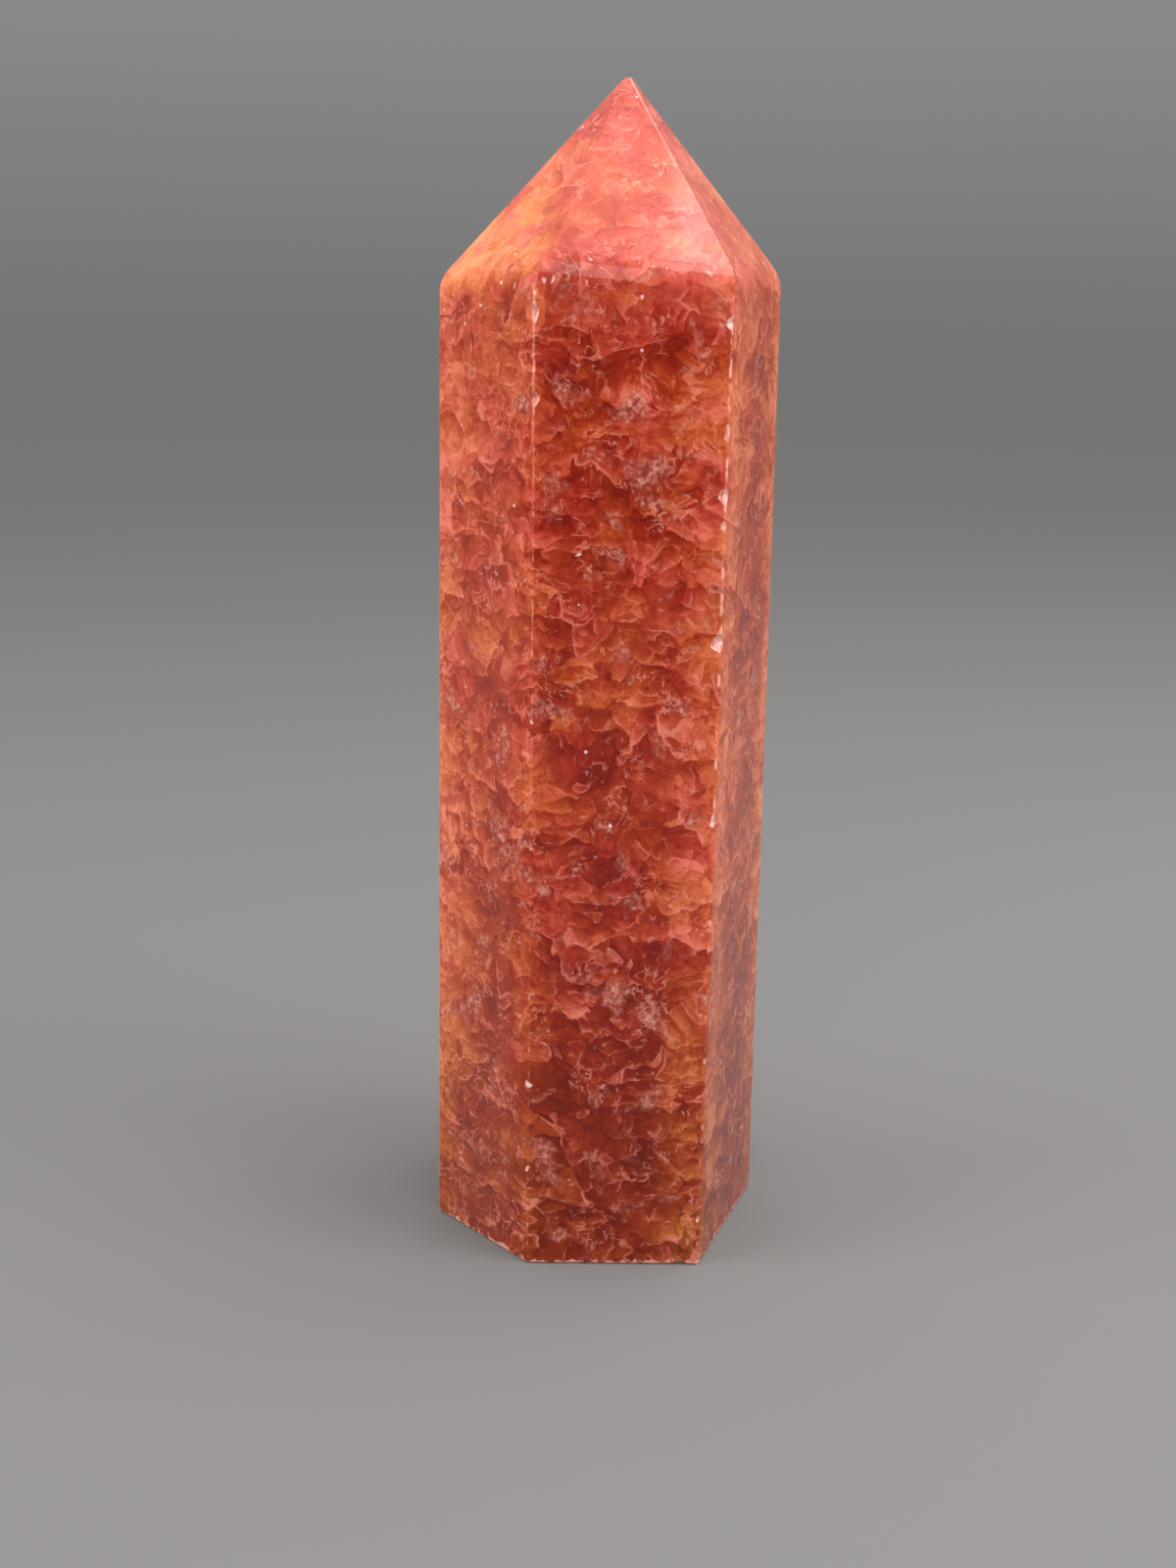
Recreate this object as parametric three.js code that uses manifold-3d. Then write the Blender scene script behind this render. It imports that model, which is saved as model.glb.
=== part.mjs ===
// A polished stone point: a six-sided column ground to six facets at the top, on a flat sawn base.
// Millimetres, +Z up. The origin is on the base, on the axis of the column, and the front flat
// faces -Y. The stone is one piece, so it is one solid.
import * as THREE from 'three';
import { mergeVertices } from 'three/addons/utils/BufferGeometryUtils.js';
import Module from 'manifold-3d';

const wasm = await Module();
wasm.setup();

// Driving dimensions, in millimetres and degrees

const HEIGHT = 120; // from the base to where the top facets would meet
const TIP_OFF_AXIS = { x: 0.9, y: 1.3 };
const GAUGE_HEIGHT = 50; // where each flat's distance from the axis is measured
const ACROSS = 36; // the rough width of the column, corner to corner

// Each flat of the column and the facet over it, anticlockwise from the front.
// faces: the bearing of the flat's outward side, from +X towards +Y; apart: its distance from the axis;
// lean: how far it leans in; tipFaces: the bearing of the facet; slope: its rise from the horizontal.
const FLATS = {
  front: { faces: -90, apart: 14.8, lean: 0.45, tipFaces: -86, slope: 50.5 },
  right: { faces: -20.5, apart: 15, lean: -0.15, tipFaces: -20, slope: 53 },
  backRight: { faces: 38, apart: 15.3, lean: 0.9, tipFaces: 35.5, slope: 53 },
  back: { faces: 97, apart: 14.8, lean: 0, tipFaces: 97, slope: 48 },
  backLeft: { faces: 156, apart: 15, lean: 0.1, tipFaces: 158, slope: 51.5 },
  left: { faces: 220, apart: 15.5, lean: 0.25, tipFaces: 217, slope: 50 },
};
const NAMES = Object.keys(FLATS);

// Hand polishing rounds the edges: how far, and with how many narrow flats each round is drawn
const CORNER = { radius: 0.7, strips: 2 }; // between two flats of the column
const SHOULDER = { radius: 4.5, strips: 4 }; // between a flat and the facet over it
const RIDGE = { radius: 0.6, strips: 2 }; // between two facets
const FOOT = { radius: 0.35, strips: 1 }; // between a flat and the base
const TIP = { radius: 0.7, rings: [0, 22], around: 6 }; // the blunted tip, as rings of small flats

// Shell-shaped chips out of the column's corners. corner: the two flats that meet there; z: height;
// long: length along the corner; deep: how far it bites; share: 0 opens it to the first flat, 1 to the second.
const CHIPS = [
  { corner: ['front', 'right'], z: 96.2, long: 1.8, deep: 0.35, share: 0.25 },
  { corner: ['front', 'right'], z: 86, long: 3.2, deep: 0.25, share: 0.3 },
  { corner: ['front', 'right'], z: 80.3, long: 2.6, deep: 0.45, share: 0.25 },
  { corner: ['front', 'right'], z: 77.2, long: 2.2, deep: 0.25, share: 0.3 },
  { corner: ['front', 'right'], z: 66, long: 2, deep: 0.5, share: 0.2 },
  { corner: ['front', 'right'], z: 48, long: 2.4, deep: 0.3, share: 0.3 },
  { corner: ['front', 'right'], z: 5.2, long: 2.2, deep: 0.35, share: 0.3 },
  { corner: ['left', 'front'], z: 97, long: 3, deep: 0.4, share: 0.35 },
  { corner: ['left', 'front'], z: 89, long: 1.8, deep: 0.4, share: 0.6 },
  { corner: ['left', 'front'], z: 74.9, long: 1.2, deep: 0.35, share: 0.6 },
  { corner: ['left', 'front'], z: 51.4, long: 1.6, deep: 0.4, share: 0.6 },
  { corner: ['backLeft', 'left'], z: 48.4, long: 1.4, deep: 0.4, share: 0.5 },
  { corner: ['right', 'backRight'], z: 98.4, long: 2.2, deep: 0.35, share: 0.4 },
];
const CHIP_RADIUS = 1.6; // how hollow a chip is across the corner

// Chips out of the edge of the base. flat: the flat they open to; along: the place along that flat,
// from the point nearest the axis, to the right as seen from outside.
const FOOT_CHIPS = [
  { flat: 'front', along: 8.2, long: 2.2, deep: 0.6 },
  { flat: 'front', along: 4.6, long: 1.5, deep: 0.35 },
  { flat: 'front', along: -2.4, long: 1.3, deep: 0.3 },
  { flat: 'front', along: -7.2, long: 1.6, deep: 0.35 },
  { flat: 'left', along: -6.4, long: 2, deep: 0.5 },
  { flat: 'right', along: 3.5, long: 1.6, deep: 0.35 },
];

const STONE = new THREE.MeshStandardMaterial({ color: 0xa8442f, roughness: 0.16, metalness: 0 });

// Planes are stored as THREE.Plane with the normal pointing out of the stone

function outward(bearing, rise) {
  const a = THREE.MathUtils.degToRad(bearing);
  const b = THREE.MathUtils.degToRad(rise);
  return new THREE.Vector3(Math.cos(a) * Math.cos(b), Math.sin(a) * Math.cos(b), Math.sin(b));
}

function planeThrough(normal, point) {
  return new THREE.Plane().setFromNormalAndCoplanarPoint(normal, point);
}

function flatOf({ faces, apart, lean }) {
  const point = outward(faces, 0).multiplyScalar(apart);
  point.z = GAUGE_HEIGHT;
  return planeThrough(outward(faces, lean), point);
}

function facetOf({ tipFaces, slope }) {
  const apex = new THREE.Vector3(TIP_OFF_AXIS.x, TIP_OFF_AXIS.y, HEIGHT);
  return planeThrough(outward(tipFaces, 90 - slope), apex);
}

// The narrow flats of the round between two planes, each tangent to a cylinder that touches both
function roundBetween(a, b, { radius, strips }) {
  const angle = a.normal.angleTo(b.normal);
  return Array.from({ length: strips }, (_, i) => {
    const turn = (angle * (i + 1)) / (strips + 1);
    const fromA = Math.sin(angle - turn) / Math.sin(angle);
    const fromB = Math.sin(turn) / Math.sin(angle);
    const normal = a.normal.clone().multiplyScalar(fromA).addScaledVector(b.normal, fromB);
    const reach = fromA * (-a.constant - radius) + fromB * (-b.constant - radius) + radius;
    return new THREE.Plane(normal, -reach);
  });
}

function tipFlats(meanSlope) {
  const drop = TIP.radius / Math.cos(THREE.MathUtils.degToRad(meanSlope));
  const centre = new THREE.Vector3(TIP_OFF_AXIS.x, TIP_OFF_AXIS.y, HEIGHT - drop);
  return TIP.rings.flatMap((tilt) => {
    const count = tilt === 0 ? 1 : TIP.around;
    return Array.from({ length: count }, (_, i) => {
      const normal = outward((360 * i) / count, 90 - tilt);
      return planeThrough(normal, centre.clone().addScaledVector(normal, TIP.radius));
    });
  });
}

function solidFrom(geometry) {
  const bare = geometry.clone();
  bare.deleteAttribute('normal');
  bare.deleteAttribute('uv');
  const merged = mergeVertices(bare);
  const mesh = new wasm.Mesh({
    numProp: 3,
    vertProperties: new Float32Array(merged.attributes.position.array),
    triVerts: new Uint32Array(merged.index.array),
  });
  return new wasm.Manifold(mesh);
}

// Grinds away all that stands outside a plane
function grind(stone, plane) {
  const size = 4 * HEIGHT;
  const turn = new THREE.Quaternion().setFromUnitVectors(new THREE.Vector3(0, 0, 1), plane.normal);
  const centre = plane.normal.clone().multiplyScalar(size / 2 - plane.constant);
  const waste = new THREE.BoxGeometry(size, size, size).applyQuaternion(turn);
  waste.translate(centre.x, centre.y, centre.z);
  return stone.subtract(solidFrom(waste));
}

// Scoops out a chip: a coarse ball, stretched along the edge, that bites deep into it at a point
function chipOut(stone, { point, along, out, long, deep }) {
  const radius = CHIP_RADIUS;
  const chord = Math.sqrt(1 - ((radius - deep) / radius) ** 2);
  const across = new THREE.Vector3().crossVectors(along, out).normalize();
  const axes = new THREE.Matrix4().makeBasis(along, out.clone().normalize(), across);
  const ball = new THREE.IcosahedronGeometry(1, 1);
  ball.scale(long / 2 / chord, radius, radius);
  ball.applyMatrix4(axes);
  const centre = point.clone().addScaledVector(out, radius - deep);
  ball.translate(centre.x, centre.y, centre.z);
  return stone.subtract(solidFrom(ball));
}

// The point where three planes meet
function meeting(a, b, c) {
  const rows = new THREE.Matrix3().set(...a.normal, ...b.normal, ...c.normal);
  return new THREE.Vector3(-a.constant, -b.constant, -c.constant).applyMatrix3(rows.invert());
}

const flats = NAMES.map((name) => flatOf(FLATS[name]));
const facets = NAMES.map((name) => facetOf(FLATS[name]));
const base = new THREE.Plane(new THREE.Vector3(0, 0, -1), 0);
const next = (i) => (i + 1) % NAMES.length;
const planeNamed = (name) => flats[NAMES.indexOf(name)];

function cornerChip({ corner: [first, second], z, long, deep, share }) {
  const a = planeNamed(first);
  const b = planeNamed(second);
  const level = new THREE.Plane(new THREE.Vector3(0, 0, 1), -z);
  const along = new THREE.Vector3().crossVectors(a.normal, b.normal).normalize();
  const out = a.normal.clone().lerp(b.normal, share).normalize();
  return { point: meeting(a, b, level), along, out, long, deep };
}

function footChip({ flat, along, long, deep }) {
  const plane = planeNamed(flat);
  const { faces } = FLATS[flat];
  const rightward = outward(faces + 90, 0);
  const acrossFlat = new THREE.Plane(rightward, -along);
  const out = plane.normal.clone().add(base.normal).normalize();
  return { point: meeting(plane, base, acrossFlat), along: rightward, out, long, deep };
}

function groundStone() {
  const blank = new THREE.BoxGeometry(2 * ACROSS, 2 * ACROSS, 2 * HEIGHT);
  const meanSlope = NAMES.reduce((sum, name) => sum + FLATS[name].slope, 0) / NAMES.length;
  const cuts = [
    base,
    ...flats,
    ...facets,
    ...flats.flatMap((flat, i) => roundBetween(flat, flats[next(i)], CORNER)),
    ...flats.flatMap((flat, i) => roundBetween(flat, facets[i], SHOULDER)),
    ...facets.flatMap((facet, i) => roundBetween(facet, facets[next(i)], RIDGE)),
    ...flats.flatMap((flat) => roundBetween(flat, base, FOOT)),
    ...tipFlats(meanSlope),
  ];
  const polished = cuts.reduce(grind, solidFrom(blank));
  const chips = [...CHIPS.map(cornerChip), ...FOOT_CHIPS.map(footChip)];
  return chips.reduce(chipOut, polished);
}

function meshOf(solid, name, material) {
  const { vertProperties, triVerts } = solid.getMesh();
  const geometry = new THREE.BufferGeometry();
  geometry.setAttribute('position', new THREE.BufferAttribute(vertProperties, 3));
  geometry.setIndex(new THREE.BufferAttribute(triVerts, 1));
  geometry.computeVertexNormals();
  const mesh = new THREE.Mesh(geometry, material);
  mesh.name = name;
  return mesh;
}

const group = new THREE.Group();
group.add(meshOf(groundStone(), 'sunstone_point', STONE));

export default group;
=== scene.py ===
import math
import random

import bpy
from mathutils import Matrix, Vector


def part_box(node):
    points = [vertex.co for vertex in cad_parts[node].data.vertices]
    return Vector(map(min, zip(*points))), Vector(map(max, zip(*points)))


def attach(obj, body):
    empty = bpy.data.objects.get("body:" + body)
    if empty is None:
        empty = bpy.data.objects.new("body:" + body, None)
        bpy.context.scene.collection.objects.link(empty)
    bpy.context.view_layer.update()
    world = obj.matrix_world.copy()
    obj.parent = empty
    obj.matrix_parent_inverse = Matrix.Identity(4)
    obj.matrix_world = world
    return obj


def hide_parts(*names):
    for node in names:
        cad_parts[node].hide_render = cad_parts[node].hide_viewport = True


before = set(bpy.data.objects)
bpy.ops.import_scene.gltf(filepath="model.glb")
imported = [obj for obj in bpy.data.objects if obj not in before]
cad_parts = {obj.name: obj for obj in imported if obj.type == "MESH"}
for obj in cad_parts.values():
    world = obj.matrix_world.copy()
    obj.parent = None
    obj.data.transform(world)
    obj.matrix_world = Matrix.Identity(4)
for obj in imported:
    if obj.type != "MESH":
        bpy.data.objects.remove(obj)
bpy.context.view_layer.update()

# The stone
# One piece of sunstone, a feldspar full of small cracks, sawn to a six-sided column, ground to six facets
# at the top and polished by hand, which rounds its edges. It is ground here in the same way: a block loses
# all that stands outside each flat, and the flats are those of the solid in the frame.

MM = 0.001
UP = Vector((0, 0, 1))
SMALLEST_FLAT = 60 * MM**2  # the strips along rounded edges and the insides of chips are smaller
SAME_WAY = 0.99999  # the cosine between two triangles of one flat
SAME_REACH = 0.01 * MM
MOST_LEAN = 0.2  # how far the normal of a side of the column may rise or fall
CORNER_ROUND, CORNER_STRIPS = 0.7 * MM, 6  # between two sides of the column
SHOULDER_ROUND, SHOULDER_STRIPS = 4.5 * MM, 10  # between a side and the facet over it
RIDGE_ROUND, RIDGE_STRIPS = 0.6 * MM, 5  # between two facets
FOOT_ROUND, FOOT_STRIPS = 0.35 * MM, 3  # between a side and the base
TIP_ROUND = 0.7 * MM
TIP_RINGS = (0.0, 0.2, 0.4)  # how far the small flats of each ring tilt, in radians
TIP_AROUND = 8
BLOCK = 1.5  # the sizes of the rough block, as times those of the stone


def flats_of(solid):
    """The large flats of a solid, each as its outward normal and its distance from the origin."""
    found = []
    for face in sorted(solid.data.polygons, key=lambda face: -face.area):
        reach = face.normal.dot(face.center)
        for flat in found:
            if flat["normal"].dot(face.normal) > SAME_WAY and abs(flat["reach"] - reach) < SAME_REACH:
                flat["area"] += face.area
                break
        else:
            found.append({"normal": face.normal.copy(), "reach": reach, "area": face.area})
    return [(flat["normal"], flat["reach"]) for flat in found if flat["area"] > SMALLEST_FLAT]


def bearing(flat):
    normal = flat[0]
    return math.atan2(normal.y, normal.x)


def round_between(a, b, radius, strips):
    """The narrow flats of a round between two flats, each tangent to a cylinder that touches both."""
    angle = a[0].angle(b[0])
    made = []
    for i in range(1, strips + 1):
        turn = angle * i / (strips + 1)
        from_a = math.sin(angle - turn) / math.sin(angle)
        from_b = math.sin(turn) / math.sin(angle)
        reach = from_a * (a[1] - radius) + from_b * (b[1] - radius) + radius
        made.append((a[0] * from_a + b[0] * from_b, reach))
    return made


def meeting(a, b, c):
    """The point where three flats meet."""
    return Matrix([a[0], b[0], c[0]]).inverted() @ Vector((a[1], b[1], c[1]))


def blunt_tip(facets, radius, rings, around):
    """The small flats of a round tip, tangent to a ball that sits in the point where the facets meet."""
    steepness = sum(normal.z for normal, reach in facets) / len(facets)
    centre = meeting(facets[0], facets[2], facets[4]) - Vector((0, 0, radius / steepness))
    made = []
    for tilt in rings:
        for i in range(around if tilt else 1):
            turn = 2 * math.pi * i / around
            sideways = math.sin(tilt)
            normal = Vector((sideways * math.cos(turn), sideways * math.sin(turn), math.cos(tilt)))
            made.append((normal, normal.dot(centre) + radius))
    return made


def deselect():
    for other in bpy.context.selected_objects:
        other.select_set(False)


flats = flats_of(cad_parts["sunstone_point"])
base = min(flats, key=lambda flat: flat[0].z)
sides = sorted((flat for flat in flats if abs(flat[0].z) < MOST_LEAN), key=bearing)
facets = sorted((flat for flat in flats if flat[0].z > MOST_LEAN), key=bearing)

cuts = flats + blunt_tip(facets, TIP_ROUND, TIP_RINGS, TIP_AROUND)
for i, side in enumerate(sides):
    after = (i + 1) % len(sides)
    cuts += round_between(side, sides[after], CORNER_ROUND, CORNER_STRIPS)
    cuts += round_between(side, facets[i], SHOULDER_ROUND, SHOULDER_STRIPS)
    cuts += round_between(facets[i], facets[after], RIDGE_ROUND, RIDGE_STRIPS)
    cuts += round_between(side, base, FOOT_ROUND, FOOT_STRIPS)

low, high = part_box("sunstone_point")
deselect()
bpy.ops.mesh.primitive_cube_add(size=1, location=(low + high) / 2, scale=(high - low) * BLOCK)
stone = bpy.context.object
stone.name = "polished_sunstone"
bpy.ops.object.transform_apply(location=True, rotation=True, scale=True)
bpy.ops.object.mode_set(mode="EDIT")
for normal, reach in cuts:
    bpy.ops.mesh.select_all(action="SELECT")
    bpy.ops.mesh.bisect(
        plane_co=normal * reach, plane_no=normal, use_fill=True, clear_outer=True, threshold=1e-7
    )
bpy.ops.object.mode_set(mode="OBJECT")

# Handling has knocked shell-shaped chips out of the edges. The large ones are those of the real stone.
# A chip is (z, length along the corner, depth, share), in mm: share 0 opens it to the first side of its
# corner, 1 to the second. The sides are counted anticlockwise, starting at a bearing before the front one.
COUNT_FROM = math.radians(-126)
front, right, back_right, back, back_left, left = sorted(
    sides, key=lambda side: (bearing(side) - COUNT_FROM) % (2 * math.pi)
)
CORNER_CHIPS = (
    (front, right, (
        (96.2, 1.8, 0.35, 0.25), (86, 3.2, 0.25, 0.3), (80.3, 2.6, 0.45, 0.25), (77.2, 2.2, 0.25, 0.3),
        (66, 2, 0.5, 0.2), (48, 2.4, 0.3, 0.3), (5.2, 2.2, 0.35, 0.3),
    )),
    (left, front, ((97, 3, 0.4, 0.35), (89, 1.8, 0.4, 0.6), (74.9, 1.2, 0.35, 0.6), (51.4, 1.6, 0.4, 0.6))),
    (back_left, left, ((48.4, 1.4, 0.4, 0.5),)),
    (right, back_right, ((98.4, 2.2, 0.35, 0.4),)),
)
# A chip out of the foot is (place along the side, to the right of the point nearest the axis, length, depth)
FOOT_CHIPS = (
    (front, ((8.2, 2.2, 0.6), (4.6, 1.5, 0.35), (-2.4, 1.3, 0.3), (-7.2, 1.6, 0.35))),
    (left, ((-6.4, 2, 0.5),)),
    (right, ((3.5, 1.6, 0.35),)),
)
CHIP_RADIUS = 2.0 * MM  # how hollow a large chip is across its edge
NICK_RADIUS = 0.8 * MM
LONG_ENOUGH = 1.7 * MM  # a longer chip is cut by a finer ball
ROUGHNESS_OF_BREAK = 0.22 * MM
NICKS_IN_CORNER = 12
NICKS_IN_FOOT = 14
HALF_SIDE = 8.5  # how far from its middle the nicks in the foot of a side reach, in mm


def scoop(point, along, out, long, deep, radius):
    """Adds a ball, drawn out along an edge, that bites as deep into the edge at a point."""
    chord = math.sqrt(1 - ((radius - deep) / radius) ** 2)
    along = along.normalized()
    out = out.normalized()
    bpy.ops.mesh.primitive_ico_sphere_add(subdivisions=2 if long > LONG_ENOUGH else 1, radius=1)
    ball = bpy.context.object
    turn = Matrix((along, out, along.cross(out))).transposed().to_4x4()
    size = Matrix.Diagonal((long / 2 / chord, radius, radius, 1))
    ball.matrix_world = Matrix.Translation(point + out * (radius - deep)) @ turn @ size
    return ball


def corner_scoop(first, second, z, long, deep, share, radius):
    point = meeting(first, second, (UP, z))
    return scoop(point, first[0].cross(second[0]), first[0].lerp(second[0], share), long, deep, radius)


def foot_scoop(side, place, long, deep, radius):
    rightward = UP.cross(side[0]).normalized()
    point = meeting(side, base, (rightward, place))
    return scoop(point, rightward, side[0] + base[0], long, deep, radius)


scoops = []
for first, second, chips in CORNER_CHIPS:
    for z, long, deep, share in chips:
        scoops.append(corner_scoop(first, second, z * MM, long * MM, deep * MM, share, CHIP_RADIUS))
for side, chips in FOOT_CHIPS:
    for place, long, deep in chips:
        scoops.append(foot_scoop(side, place * MM, long * MM, deep * MM, CHIP_RADIUS))

# The small nicks between them fall anywhere along an edge
luck = random.Random(11)
for i, side in enumerate(sides):
    after = sides[(i + 1) % len(sides)]
    for _ in range(NICKS_IN_CORNER):
        z = luck.uniform(2, 99) * MM
        long = luck.uniform(0.5, 1.5) * MM
        deep = luck.uniform(0.06, 0.2) * MM
        scoops.append(corner_scoop(side, after, z, long, deep, luck.uniform(0.3, 0.7), NICK_RADIUS))
    for _ in range(NICKS_IN_FOOT):
        place = luck.uniform(-HALF_SIDE, HALF_SIDE) * MM
        long = luck.uniform(0.6, 2.0) * MM
        deep = luck.uniform(0.1, 0.32) * MM
        scoops.append(foot_scoop(side, place, long, deep, NICK_RADIUS))

deselect()
for ball in scoops:
    ball.select_set(True)
cutter = scoops[0]
bpy.context.view_layer.objects.active = cutter
bpy.ops.object.join()
bpy.ops.object.transform_apply(location=True, rotation=True, scale=True)
bpy.ops.object.mode_set(mode="EDIT")
bpy.ops.mesh.select_all(action="SELECT")
bpy.ops.transform.vertex_random(offset=ROUGHNESS_OF_BREAK, seed=4)
bpy.ops.object.mode_set(mode="OBJECT")


def colour(hex_value):
    """An sRGB hex colour as the linear RGBA that a socket takes."""
    parts = [int(hex_value[i : i + 2], 16) / 255 for i in (1, 3, 5)]
    return [c / 12.92 if c <= 0.04045 else ((c + 0.055) / 1.055) ** 2.4 for c in parts] + [1.0]


def add(tree, kind, inputs, stops=(), **settings):
    """Adds a node. An input is a value, a socket, or a node, which then gives its first output."""
    made = tree.nodes.new(kind)
    for name, value in settings.items():
        setattr(made, name, value)
    for name, value in inputs.items():
        if isinstance(value, bpy.types.Node):
            value = value.outputs[0]
        if isinstance(value, bpy.types.NodeSocket):
            tree.links.new(value, made.inputs[name])
        else:
            made.inputs[name].default_value = value
    for i, (position, hex_value) in enumerate(stops):
        if i >= len(made.color_ramp.elements):
            made.color_ramp.elements.new(position)
        made.color_ramp.elements[i].position = position
        made.color_ramp.elements[i].color = colour(hex_value)
    return made


# Polished sunstone, ground on finer and finer grit and buffed. The polish is glossy and a little wavy.
# Under it the stone is translucent, and the cracks between its grains catch the light as thin bright rims
# and dull pink clouds. All is drawn at its real size, in mm, but for the finest crazing, which is too fine
# to show and is drawn at a third of a millimetre and up.
sunstone = bpy.data.materials.new("polished cracked sunstone")
sunstone.use_nodes = True
tree = sunstone.node_tree
tree.nodes.clear()

on_stone = add(tree, "ShaderNodeTexCoord", {}).outputs["Object"]
in_mm = add(tree, "ShaderNodeMapping", {"Vector": on_stone, "Scale": (1 / MM, 1 / MM, 1 / MM)})


def crumpled(points, size, reach, detail):
    """Shifts points by noise of a size and a reach in mm, so that no pattern there has a straight line."""
    noise = add(tree, "ShaderNodeTexNoise", {"Vector": points, "Scale": 1 / size, "Detail": detail})
    return add(
        tree,
        "ShaderNodeVectorMath",
        {0: noise.outputs["Color"], 1: (reach, reach, reach), 2: points},
        operation="MULTIPLY_ADD",
    )


def mottling(points, size, detail, seed):
    """Light and dark drifts of about a size in mm. Each seed takes its own place in the noise."""
    moved = add(tree, "ShaderNodeMapping", {"Vector": points, "Location": (seed, -seed, seed / 2)})
    return add(tree, "ShaderNodeTexNoise", {"Vector": moved, "Scale": 1 / size, "Detail": detail})


def patches(points, size, detail, seed, none, full):
    """Soft patches where the mottling is between a value where they end and one where they are full."""
    return add(
        tree,
        "ShaderNodeMapRange",
        {"Value": mottling(points, size, detail, seed), 1: none, 2: full},
        interpolation_type="SMOOTHSTEP",
    )


def grains(points, wide, high, seed):
    """The grains that the stone has cracked into. Gives each one's slope from dark to light across
    itself, the distance from its cracks, and its three chance values."""
    cells = add(
        tree,
        "ShaderNodeMapping",
        {"Vector": points, "Location": (seed, seed, seed), "Scale": (1 / wide, 1 / wide, 1 / high)},
    )
    nearest = add(tree, "ShaderNodeTexVoronoi", {"Vector": cells, "Scale": 1.0}).outputs
    edge = add(tree, "ShaderNodeTexVoronoi", {"Vector": cells, "Scale": 1.0}, feature="DISTANCE_TO_EDGE")
    # the last chance value is mostly under 0.76, so most grains get lighter downwards
    downhill = add(
        tree, "ShaderNodeVectorMath", {0: nearest["Color"], 1: (0.5, 0.5, 0.76)}, operation="SUBTRACT"
    )
    from_centre = add(tree, "ShaderNodeVectorMath", {0: cells, 1: nearest["Position"]}, operation="SUBTRACT")
    slope = add(tree, "ShaderNodeVectorMath", {0: from_centre, 1: downhill}, operation="DOT_PRODUCT")
    chance = add(tree, "ShaderNodeSeparateColor", {0: nearest["Color"]}).outputs
    return slope.outputs["Value"], edge, chance


BIG_GRAIN = 5.0
SMALL_GRAIN = 2.1
FINE_GRAIN = 1.0
wavy = crumpled(crumpled(in_mm, 7.0, 5.0, 1.0), 1.6, 1.5, 2.0)
big_slope, big_edge, big_chance = grains(wavy, BIG_GRAIN, 3.6, 0.0)
small_slope, small_edge, small_chance = grains(wavy, SMALL_GRAIN, 1.6, 31.0)
fine_slope, _, fine_chance = grains(wavy, FINE_GRAIN, 0.8, 57.0)

# The zones of the stone: each fades in from one place to another, in mm from the middle of the base.
# The tip and the corners get a painted glow, as of light that enters by them, and the foot gets painted
# shade.
east, north, up = add(tree, "ShaderNodeSeparateXYZ", {0: in_mm}).outputs
level = add(tree, "ShaderNodeCombineXYZ", {0: east, 1: north})
from_axis = add(tree, "ShaderNodeVectorMath", {0: level}, operation="LENGTH").outputs["Value"]
ragged_height = add(
    tree, "ShaderNodeMath", {0: mottling(in_mm, 5.0, 3.0, 8.0), 1: 14.0, 2: up}, operation="MULTIPLY_ADD"
)
zone = {}
for name, along, none, full in (
    ("tip", ragged_height, 100, 112),
    ("left half", east, -3, -9),
    ("right half", east, -10, -2),
    ("far right", east, 7, 15),
    ("behind the front", north, -14.6, -11),
    ("corners", from_axis, 15.1, 17.2),
    ("upper column", up, 55, 95),
    ("under the shoulder", up, 101, 97),
    ("the column", up, 99, 98),
    ("shoulder, from below", up, 94, 99),
    ("shoulder, from above", up, 106, 101),
    ("foot", up, 45, 0),
    ("above the base", up, 0.0, 0.05),
):
    zone[name] = add(
        tree, "ShaderNodeMapRange", {"Value": along, 1: none, 2: full}, interpolation_type="SMOOTHSTEP"
    )
left_tip = add(tree, "ShaderNodeMath", {0: zone["tip"], 1: zone["left half"]}, operation="MULTIPLY")
right_tip = add(tree, "ShaderNodeMath", {0: zone["tip"], 1: zone["right half"]}, operation="MULTIPLY")

# How light the stone is at each point: all that lightens or darkens it, and by how much
busy = patches(in_mm, 4.5, 2.0, 23.0, 0.42, 0.6)
fine_tone = add(tree, "ShaderNodeMath", {0: fine_chance[0], 1: 0.12, 2: -0.06}, operation="MULTIPLY_ADD")
fine_tone = add(tree, "ShaderNodeMath", {0: fine_slope, 1: 0.35, 2: fine_tone}, operation="MULTIPLY_ADD")
tone = -0.73
for lightens, by in (
    (mottling(in_mm, 9.0, 2.0, 3.0), 0.75),
    (big_chance[0], 0.16),
    (big_slope, 0.45),
    (small_chance[0], 0.1),
    (small_slope, 0.4),
    (fine_tone, busy),
    (mottling(wavy, 2.0, 3.0, 9.0), 0.35),
    (mottling(wavy, 0.7, 3.0, 19.0), 0.55),
    (mottling(in_mm, 0.35, 2.0, 29.0), 0.3),
    # Painted glow: the corners are drawn lighter
    (zone["corners"], 0.3),
    # Painted sheen: the sides behind the front are drawn lighter
    (zone["behind the front"], 0.05),
    # Painted shade: the foot is drawn darker
    (zone["foot"], -0.16),
    # Painted light: the upper column is drawn lighter
    (zone["upper column"], 0.08),
):
    tone = add(tree, "ShaderNodeMath", {0: lightens, 1: by, 2: tone}, operation="MULTIPLY_ADD")
# Painted glow in the tip: its tone is drawn half way to a light, even value, and lighter still at its left
half_tip = add(tree, "ShaderNodeMath", {0: zone["tip"], 1: 0.5}, operation="MULTIPLY")
tone = add(tree, "ShaderNodeMix", {0: half_tip, 2: tone, 3: 0.82})
tone = add(tree, "ShaderNodeMath", {0: left_tip, 1: 0.14, 2: tone}, operation="MULTIPLY_ADD")

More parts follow.
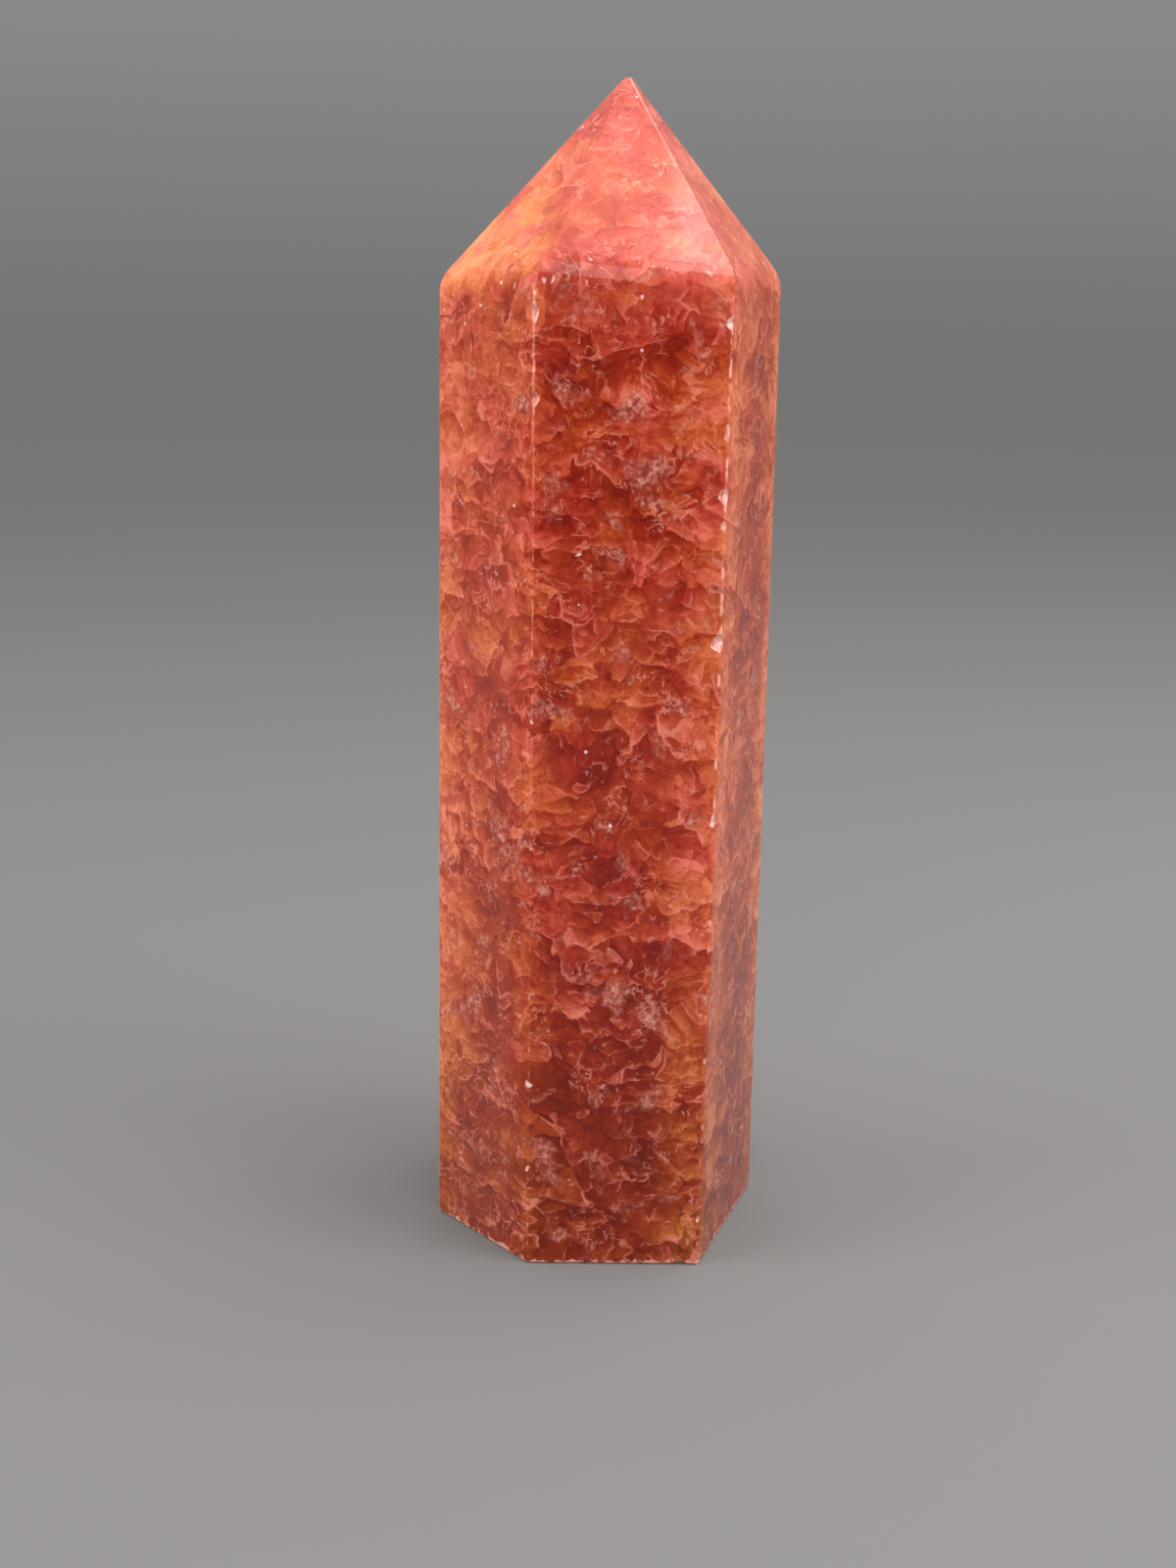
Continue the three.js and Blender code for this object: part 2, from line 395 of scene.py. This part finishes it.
# Red, amber and honey-coloured stone, each from dark to light
RED = ((0.05, "#7a0c04"), (0.34, "#9c210c"), (0.5, "#b03423"), (0.65, "#c64a37"), (1.0, "#ee7866"))
AMBER = ((0.05, "#801602"), (0.34, "#a22e0b"), (0.5, "#b5461b"), (0.65, "#cb5c2f"), (1.0, "#f28c60"))
HONEY = ((0.05, "#842604"), (0.34, "#9e3c08"), (0.5, "#b65018"), (0.65, "#ce662a"), (1.0, "#f09858"))
red = add(tree, "ShaderNodeValToRGB", {0: tone}, RED)
amber = add(tree, "ShaderNodeValToRGB", {0: tone}, AMBER)
honey = add(tree, "ShaderNodeValToRGB", {0: tone}, HONEY)
hue = -0.05
for yellows, by in (
    (mottling(in_mm, 6.0, 3.0, 41.0), 0.85),
    (big_chance[1], 0.15),
    (small_chance[1], 0.08),
    (zone["foot"], 0.16),
    (zone["behind the front"], 0.06),
    (zone["far right"], 0.2),
    (right_tip, -0.12),
):
    hue = add(tree, "ShaderNodeMath", {0: yellows, 1: by, 2: hue}, operation="MULTIPLY_ADD")
amber_share = add(tree, "ShaderNodeMapRange", {"Value": hue, 1: 0.4, 2: 0.66})
plain_stone = add(tree, "ShaderNodeMixRGB", {0: amber_share, 1: red, 2: amber})

# Honey shows in the lower corners and at the left of the tip, partly the stone's own amber and partly the
# tint of the painted glow there
left_tip_honey = add(tree, "ShaderNodeMath", {0: left_tip, 1: 1.1}, operation="MULTIPLY")
honey_zone = add(
    tree,
    "ShaderNodeMath",
    {0: zone["foot"], 1: zone["corners"], 2: left_tip_honey},
    operation="MULTIPLY_ADD",
)

# Dull clouds of fine cracks, weaker in the tip
CLOUD = ((0.36, "#8c3a2e"), (0.5, "#b25a4a"), (0.64, "#e09a88"))
crazing = mottling(crumpled(in_mm, 0.8, 0.8, 2.0), 0.55, 3.0, 5.0)
cloud = add(tree, "ShaderNodeValToRGB", {0: crazing}, CLOUD)
cloud_strength = add(tree, "ShaderNodeMath", {0: zone["tip"], 1: -0.65, 2: 0.85}, operation="MULTIPLY_ADD")

# Bright rims on the light side of the cracks
RIM = colour("#e88670")
RIM_WIDTH = 0.36
rim_patches = patches(in_mm, 1.8, 4.0, 15.0, 0.44, 0.6)
rims = []
for slope, edge, wide, strength in (
    (big_slope, big_edge, BIG_GRAIN, 0.7),
    (small_slope, small_edge, SMALL_GRAIN, 0.5),
):
    line = add(
        tree,
        "ShaderNodeMapRange",
        {"Value": edge, 1: RIM_WIDTH / wide, 2: 0.0},
        interpolation_type="SMOOTHSTEP",
    )
    light_side = add(
        tree, "ShaderNodeMapRange", {"Value": slope, 1: 0.02, 2: 0.2}, interpolation_type="SMOOTHSTEP"
    )
    rims.append((RIM, (line, light_side, rim_patches, strength)))


def curls(points, size, seed):
    """Thin closed curls of about a size in mm, where mottling passes through its middle value."""
    from_middle = add(
        tree, "ShaderNodeMath", {0: mottling(points, size, 1.5, seed), 1: 0.5}, operation="SUBTRACT"
    )
    away = add(tree, "ShaderNodeMath", {0: from_middle}, operation="ABSOLUTE")
    return add(tree, "ShaderNodeMapRange", {"Value": away, 1: 0.045, 2: 0.0}, interpolation_type="SMOOTHSTEP")


def specks(points, apart, widest, share, seed):
    """White specks, up to a widest radius and some way apart, in mm. Only a share of the places has one."""
    moved = add(
        tree,
        "ShaderNodeMapping",
        {"Vector": points, "Location": (seed, seed, seed), "Scale": (1 / apart, 1 / apart, 1 / apart)},
    )
    nearest = add(tree, "ShaderNodeTexVoronoi", {"Vector": moved, "Scale": 1.0}).outputs
    chance = add(tree, "ShaderNodeSeparateColor", {0: nearest["Color"]}).outputs
    radius = add(tree, "ShaderNodeMath", {0: chance[0], 1: widest / apart}, operation="MULTIPLY")
    inside = add(tree, "ShaderNodeMath", {0: radius, 1: nearest["Distance"]}, operation="SUBTRACT")
    speck = add(
        tree,
        "ShaderNodeMapRange",
        {"Value": inside, 1: -0.04 / apart, 2: 0.1 / apart},
        interpolation_type="SMOOTHSTEP",
    )
    chosen = add(
        tree,
        "ShaderNodeMapRange",
        {"Value": chance[2], 1: 1 - share, 2: 1.01 - share},
        interpolation_type="SMOOTHSTEP",
    )
    return add(tree, "ShaderNodeMath", {0: speck, 1: chosen}, operation="MULTIPLY")


# Handling has scraped the rounded corners and chipped the edge of the foot to crumbs, which leaves them pale.
# The pale band along the foot is partly painted light as well, on a rim that faces down. How deep a point
# lies under the nearest flat says how worn it is, and comes with the mesh.
depth = add(tree, "ShaderNodeAttribute", {}, attribute_name="worn").outputs["Fac"]
worn = add(tree, "ShaderNodeMapRange", {"Value": depth, 1: 0.2, 2: 0.8}, interpolation_type="SMOOTHSTEP")
worn_corner = add(tree, "ShaderNodeMath", {0: worn, 1: zone["the column"]}, operation="MULTIPLY")
from_foot = add(
    tree, "ShaderNodeMath", {0: mottling(in_mm, 1.0, 3.0, 71.0), 1: -2.2, 2: up}, operation="MULTIPLY_ADD"
)
crumbled_and_lit_rim = add(
    tree, "ShaderNodeMapRange", {"Value": from_foot, 1: -0.6, 2: -0.85}, interpolation_type="SMOOTHSTEP"
)

# What lies over the plain stone. Honey comes first, and is darkened with the rest towards the foot by painted
# shade. Then follow in turn a colour and the shares that multiply to how much of it shows: a painted sheen on
# the sides behind the front, clouds, rims, curls, worn corners, a chipped foot rim that is partly painted
# light, and white specks, with more of them in the shoulder band.
PAINTED_SHEEN = colour("#dc9c88")
CURL = colour("#ee9c88")
WORN = colour("#f2ab98")
WHITE = colour("#f6cfc2")
PAINTED_FOOT_SHADE = colour("#dcdcc8")
shoulder_specks = specks(wavy, 1.2, 0.27, 0.5, 27.0)
honeyed = add(
    tree,
    "ShaderNodeMath",
    {0: honey_zone, 1: patches(wavy, 4.0, 2.0, 51.0, 0.42, 0.58)},
    operation="MULTIPLY",
)
honeyed = add(tree, "ShaderNodeMath", {0: honeyed, 1: 0.9}, operation="MULTIPLY")
stone_colour = add(tree, "ShaderNodeMixRGB", {0: honeyed, 1: plain_stone, 2: honey})
# Painted shade: the colour is multiplied darker towards the foot
stone_colour = add(
    tree, "ShaderNodeMixRGB", {0: zone["foot"], 1: stone_colour, 2: PAINTED_FOOT_SHADE}, blend_type="MULTIPLY"
)
for over, shares in (
    # Painted sheen: the sides behind the front are paled below the shoulder
    (PAINTED_SHEEN, (zone["behind the front"], zone["under the shoulder"], 0.07)),
    (cloud, (patches(wavy, 3.6, 4.0, 77.0, 0.56, 0.72), cloud_strength)),
    *rims,
    (CURL, (curls(wavy, 1.1, 49.0), busy, patches(in_mm, 1.4, 2.0, 63.0, 0.5, 0.6), 0.6)),
    (WORN, (worn_corner, patches(in_mm, 1.2, 4.0, 33.0, 0.53, 0.65))),
    (WORN, (crumbled_and_lit_rim, zone["above the base"], 0.85)),
    (WHITE, (specks(wavy, 3.4, 0.3, 0.3, 7.0),)),
    (WHITE, (specks(in_mm, 2.4, 0.2, 0.22, 17.0),)),
    (WHITE, (shoulder_specks, zone["shoulder, from below"], zone["shoulder, from above"], 0.8)),
):
    shown = shares[0]
    for share in shares[1:]:
        shown = add(tree, "ShaderNodeMath", {0: shown, 1: share}, operation="MULTIPLY")
    stone_colour = add(tree, "ShaderNodeMixRGB", {0: shown, 1: stone_colour, 2: over})

# The buffed flats are almost mirrors, and the worn corners are matt
wavering = mottling(in_mm, 4.0, 3.0, 60.0)
matt = add(tree, "ShaderNodeMath", {0: wavering, 1: 0.1, 2: 0.03}, operation="MULTIPLY_ADD")
matt = add(tree, "ShaderNodeMath", {0: worn_corner, 1: 0.55, 2: matt}, operation="MULTIPLY_ADD")
ripple = add(
    tree,
    "ShaderNodeBump",
    {"Height": mottling(in_mm, 9.0, 1.0, 90.0), "Strength": 0.25, "Distance": 0.2 * MM},
)
shader = add(
    tree,
    "ShaderNodeBsdfPrincipled",
    {
        "Base Color": stone_colour,
        "Roughness": matt,
        "IOR": 1.5,  # feldspar has 1.53 or so, and this polish mirrors a little less
        "Subsurface Weight": 0.3,
        "Subsurface Radius": (1.0, 0.35, 0.2),
        "Subsurface Scale": 2 * MM,
        "Normal": ripple,
    },
)
add(tree, "ShaderNodeOutputMaterial", {"Surface": shader})

# Broken sunstone, inside the chips. It has no polish, so it is rough, and pale with crushed stone, in
# streaks of about half a millimetre that run up the stone.
CRUSHED = ((0.34, "#c2563f"), (0.48, "#e38c78"), (0.62, "#f8c6ba"))
STREAK = 0.5
STRETCH = 0.3  # a streak is this much of its length across
broken = bpy.data.materials.new("broken sunstone")
broken.use_nodes = True
tree = broken.node_tree
tree.nodes.clear()
on_stone = add(tree, "ShaderNodeTexCoord", {}).outputs["Object"]
upright = add(tree, "ShaderNodeMapping", {"Vector": on_stone, "Scale": (1 / MM, 1 / MM, STRETCH / MM)})
crushed = add(tree, "ShaderNodeTexNoise", {"Vector": upright, "Scale": 1 / STREAK, "Detail": 4.0})
crushed_colour = add(tree, "ShaderNodeValToRGB", {0: crushed}, CRUSHED)
shader = add(
    tree,
    "ShaderNodeBsdfPrincipled",
    {"Base Color": crushed_colour, "Roughness": 0.38, "IOR": 1.54},
)
add(tree, "ShaderNodeOutputMaterial", {"Surface": shader})

# The chips are knocked out, and their rims stay sharp where the polished rounds are smooth
SHARPEST_ROUND = math.radians(16)
stone.data.materials.append(sunstone)
cutter.data.materials.append(broken)
deselect()
stone.select_set(True)
bpy.context.view_layer.objects.active = stone
chipping = stone.modifiers.new("chipping", "BOOLEAN")
chipping.operation = "DIFFERENCE"
chipping.object = cutter
chipping.solver = "EXACT"
chipping.use_self = True
chipping.material_mode = "TRANSFER"
bpy.ops.object.modifier_apply(modifier=chipping.name)
bpy.data.objects.remove(cutter)
bpy.ops.object.shade_smooth_by_angle(angle=SHARPEST_ROUND)
evening = stone.modifiers.new("even normals", "WEIGHTED_NORMAL")
evening.keep_sharp = True
bpy.ops.object.modifier_apply(modifier=evening.name)

# How far each point of the stone lies under the nearest flat: a rounded corner is deepest along its middle
DEEPEST_WEAR = CORNER_ROUND * (1 - math.cos(math.radians(30)))
wear = stone.data.attributes.new("worn", "FLOAT", "POINT")
for vertex, entry in zip(stone.data.vertices, wear.data):
    under = min(reach - normal.dot(vertex.co) for normal, reach in flats)
    entry.value = min(1.0, max(0.0, under / DEEPEST_WEAR))

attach(stone, "root")
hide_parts("sunstone_point")

# The floor
# A plain matt board, cut far larger than the stone that stands on it.

deselect()
bpy.ops.mesh.primitive_plane_add(size=400)
floor = bpy.context.object
floor.name = "floor"
matt_board = bpy.data.materials.new("matt pale board")
matt_board.use_nodes = True
tree = matt_board.node_tree
tree.nodes.clear()
shader = add(tree, "ShaderNodeBsdfDiffuse", {"Color": colour("#747372")})
add(tree, "ShaderNodeOutputMaterial", {"Surface": shader})
floor.data.materials.append(matt_board)

# The light
# A soft studio: grey walls all round, brighter overhead, with a softbox over the stone, one at its right,
# one in front, and a window on its left.

studio = bpy.data.worlds.new("studio")
bpy.context.scene.world = studio
studio.use_nodes = True
tree = studio.node_tree
tree.nodes.clear()
towards = add(tree, "ShaderNodeTexCoord", {}).outputs["Generated"]
rise = add(tree, "ShaderNodeSeparateXYZ", {0: towards}).outputs[2]
overhead = add(tree, "ShaderNodeMath", {0: rise, 1: 4.0}, operation="POWER")
brightness = add(tree, "ShaderNodeMath", {0: rise, 1: 0.5, 2: 0.18}, operation="MULTIPLY_ADD")
brightness = add(tree, "ShaderNodeMath", {0: overhead, 1: 1.6, 2: brightness}, operation="MULTIPLY_ADD")
walls = add(tree, "ShaderNodeBackground", {"Color": colour("#fffdfd"), "Strength": brightness})
add(tree, "ShaderNodeOutputWorld", {"Surface": walls})

for name, centre, aim, wide, high, watts in (
    ("softbox overhead", (0.25, -0.05, 0.45), (0.25, -0.05, 0.0), 0.4, 0.5, 1.8),
    ("softbox right", (0.45, -0.2, 0.33), (0.0, 0.0, 0.07), 0.35, 0.35, 1.25),
    ("softbox front", (-0.1, -0.45, 0.36), (0.0, 0.0, 0.09), 0.3, 0.3, 0.5),
    ("window left", (-0.5, -0.15, 0.25), (0.0, 0.0, 0.06), 0.4, 0.4, 1.9),
):
    bpy.ops.object.light_add(type="AREA", location=centre)
    lamp = bpy.context.object
    lamp.name = name
    lamp.rotation_euler = (Vector(aim) - Vector(centre)).to_track_quat("-Z", "Y").to_euler()
    lamp.data.shape = "RECTANGLE"
    lamp.data.size = wide
    lamp.data.size_y = high
    lamp.data.energy = watts

# The camera
# Held by hand in front of the stone, a little above its middle, and tipped down at it.

FOCAL_LENGTH = 1917 / 1600  # times the height of the picture
SENSOR = 36
DISTANCE = 195.1 * MM
HEIGHT = 95.3 * MM
SIDEWAYS = -1.97 * MM
CLOSEST = 0.01  # what is nearer than this isn't drawn
around = math.radians(-0.76)
down = math.radians(13.58)
roll = math.radians(0.93)
bpy.ops.object.camera_add()
camera = bpy.context.object
camera.data.sensor_width = SENSOR
camera.data.lens = FOCAL_LENGTH * SENSOR
camera.data.clip_start = CLOSEST
away = Vector((math.sin(around), -math.cos(around), 0))
rightward = Vector((math.cos(around), math.sin(around), 0))
eye = away * DISTANCE + rightward * SIDEWAYS + UP * HEIGHT
camera.matrix_world = (
    Matrix.Translation(eye)
    @ Matrix.Rotation(around, 4, "Z")
    @ Matrix.Rotation(math.pi / 2 - down, 4, "X")
    @ Matrix.Rotation(roll, 4, "Z")
)
bpy.context.scene.camera = camera
bpy.context.scene.view_settings.view_transform = "Standard"
